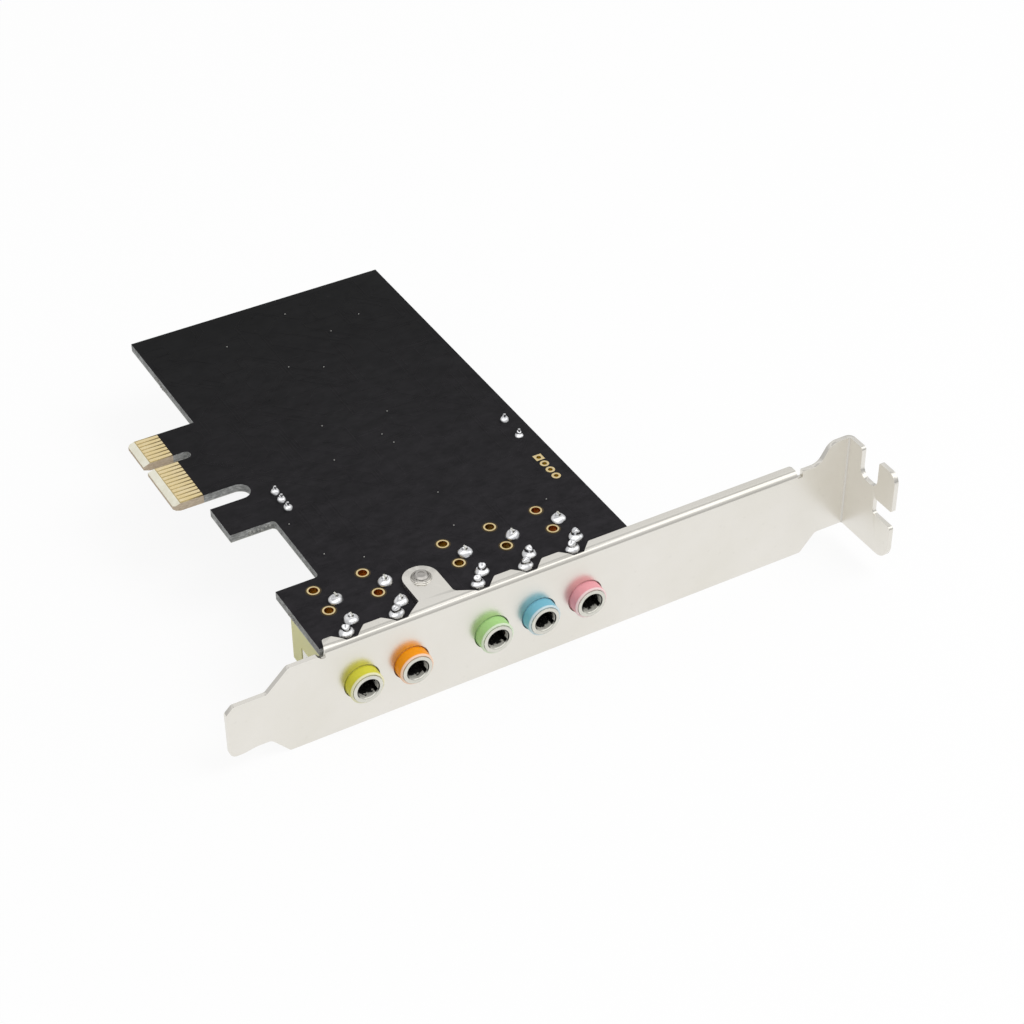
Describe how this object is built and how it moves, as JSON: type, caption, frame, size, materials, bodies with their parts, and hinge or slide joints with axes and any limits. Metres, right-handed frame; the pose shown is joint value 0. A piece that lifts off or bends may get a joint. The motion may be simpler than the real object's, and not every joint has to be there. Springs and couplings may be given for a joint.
{
  "type": "pci sound card",
  "caption": "Sound card with a short edge-connector board, a full-height slot bracket with a threaded ear, and coloured 3.5 mm jacks.",
  "frame": {"origin": "centre of the connector's key on the edge connector's leading edge, half way through the board", "axes": "+X from the connector's leading edge into the board and along the bracket to its screw tab, +Y from the bracket along the board to its far end, +Z out of the solder face, so -Z is the component side"},
  "size_m": [0.12, 0.1088, 0.0222],
  "materials": {
    "solder_mask": "satin black solder mask on glass laminate, cream laminate at the edge connector and grey sawn edges",
    "contact_gold": "thin gold plating",
    "solder": "bright solder",
    "plated_steel": "satin plated sheet steel",
    "screw_steel": "bright plated steel",
    "yellow_plastic": "moulded, satin",
    "orange_plastic": "moulded, satin",
    "green_plastic": "moulded, satin",
    "blue_plastic": "moulded, satin",
    "pink_plastic": "moulded, satin",
    "contact_nickel": "nickel plated",
    "black_plastic": "moulded, matte",
    "chip_resin": "matte moulding resin",
    "tin": "satin tin plating",
    "can_steel": "bright pressed steel",
    "can_aluminium": "satin aluminium",
    "ceramic": "fired ceramic"
  },
  "bodies": {
    "root": {"circuit_board": "solder_mask", "edge_contacts": "contact_gold", "plated_holes": "contact_gold", "solder_joints": "solder", "bracket": "plated_steel", "bracket_screw": "screw_steel", "yellow_jack_housing": "yellow_plastic", "orange_jack_housing": "orange_plastic", "green_jack_housing": "green_plastic", "blue_jack_housing": "blue_plastic", "pink_jack_housing": "pink_plastic", "yellow_jack_sleeve_contact": "contact_nickel", "orange_jack_sleeve_contact": "contact_nickel", "green_jack_sleeve_contact": "contact_nickel", "blue_jack_sleeve_contact": "contact_nickel", "pink_jack_sleeve_contact": "contact_nickel", "yellow_jack_ring_spring": "contact_nickel", "orange_jack_ring_spring": "contact_nickel", "green_jack_ring_spring": "contact_nickel", "blue_jack_ring_spring": "contact_nickel", "pink_jack_ring_spring": "contact_nickel", "yellow_jack_tip_spring": "contact_nickel", "orange_jack_tip_spring": "contact_nickel", "green_jack_tip_spring": "contact_nickel", "blue_jack_tip_spring": "contact_nickel", "pink_jack_tip_spring": "contact_nickel", "yellow_jack_back_cover": "black_plastic", "orange_jack_back_cover": "black_plastic", "green_jack_back_cover": "black_plastic", "blue_jack_back_cover": "black_plastic", "pink_jack_back_cover": "black_plastic", "audio_chip": "chip_resin", "audio_chip_leads": "tin", "bridge_chip": "chip_resin", "bridge_chip_leads": "tin", "memory_chip": "chip_resin", "memory_chip_leads": "tin", "power_regulators": "chip_resin", "power_regulator_leads": "tin", "voltage_regulator": "chip_resin", "voltage_regulator_leads": "tin", "crystal_can": "can_steel", "crystal_leads": "tin", "oscillator_base": "ceramic", "oscillator_lid": "can_steel", "capacitor_cans": "can_aluminium", "capacitor_bases": "black_plastic", "capacitor_terminals": "tin", "chip_resistors": "chip_resin", "chip_capacitors": "ceramic", "chip_end_caps": "tin"}
  },
  "joints": []
}
